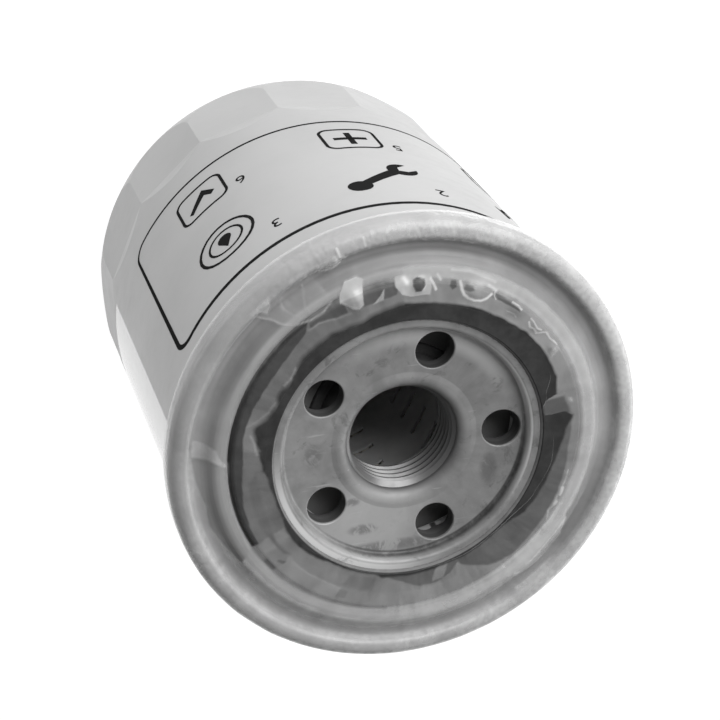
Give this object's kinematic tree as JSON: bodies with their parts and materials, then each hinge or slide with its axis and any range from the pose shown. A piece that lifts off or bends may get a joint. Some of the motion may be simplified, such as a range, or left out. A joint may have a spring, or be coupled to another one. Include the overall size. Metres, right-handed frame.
{
  "type": "spin-on fuel filter",
  "caption": "Spin-on fuel filter: seamed sheet-metal can, threaded base plate with inlet ports, ring gasket, spring-loaded pleated element and clear shrink film.",
  "frame": {"origin": "centre of the closed end's standing ring, on the plane it stands on", "axes": "+Z along the axis of the can and of the mounting thread, towards the open, threaded end; +X through the centre of an inlet port"},
  "size_m": [0.0844, 0.0844, 0.1006],
  "materials": {
    "can_paint": "gloss",
    "lid_steel": "zinc plated",
    "plate_steel": "zinc plated",
    "gasket_rubber": "matte",
    "seal_rubber": "matte",
    "compound": "matte",
    "inner_steel": "tin plated",
    "weld": "heat tinted",
    "paper": "matte",
    "potting": "matte",
    "spring_steel": "oiled",
    "film": "clear"
  },
  "bodies": {
    "housing": {"housing_can": "can_paint", "weld_nuggets": "weld", "seaming_lid": "lid_steel", "seam_compound": "compound", "base_plate": "plate_steel", "sealing_gasket": "gasket_rubber", "coil_spring": "spring_steel", "shrink_film": "film"},
    "element": {"top_end_cap": "inner_steel", "bottom_end_cap": "inner_steel", "top_potting": "potting", "bottom_potting": "potting", "centre_tube": "inner_steel", "pleated_media": "paper", "media_clip": "inner_steel", "inner_seal": "seal_rubber", "spring_seat": "inner_steel"}
  },
  "joints": [
    {"name": "element_float", "type": "slide", "parent": "housing", "child": "element", "axis": [0, 0, 1], "range_m": [-0.002, 0], "stiffness_N_per_m": 1090, "springref_m": 0.014, "deforming": ["coil_spring"]}
  ]
}
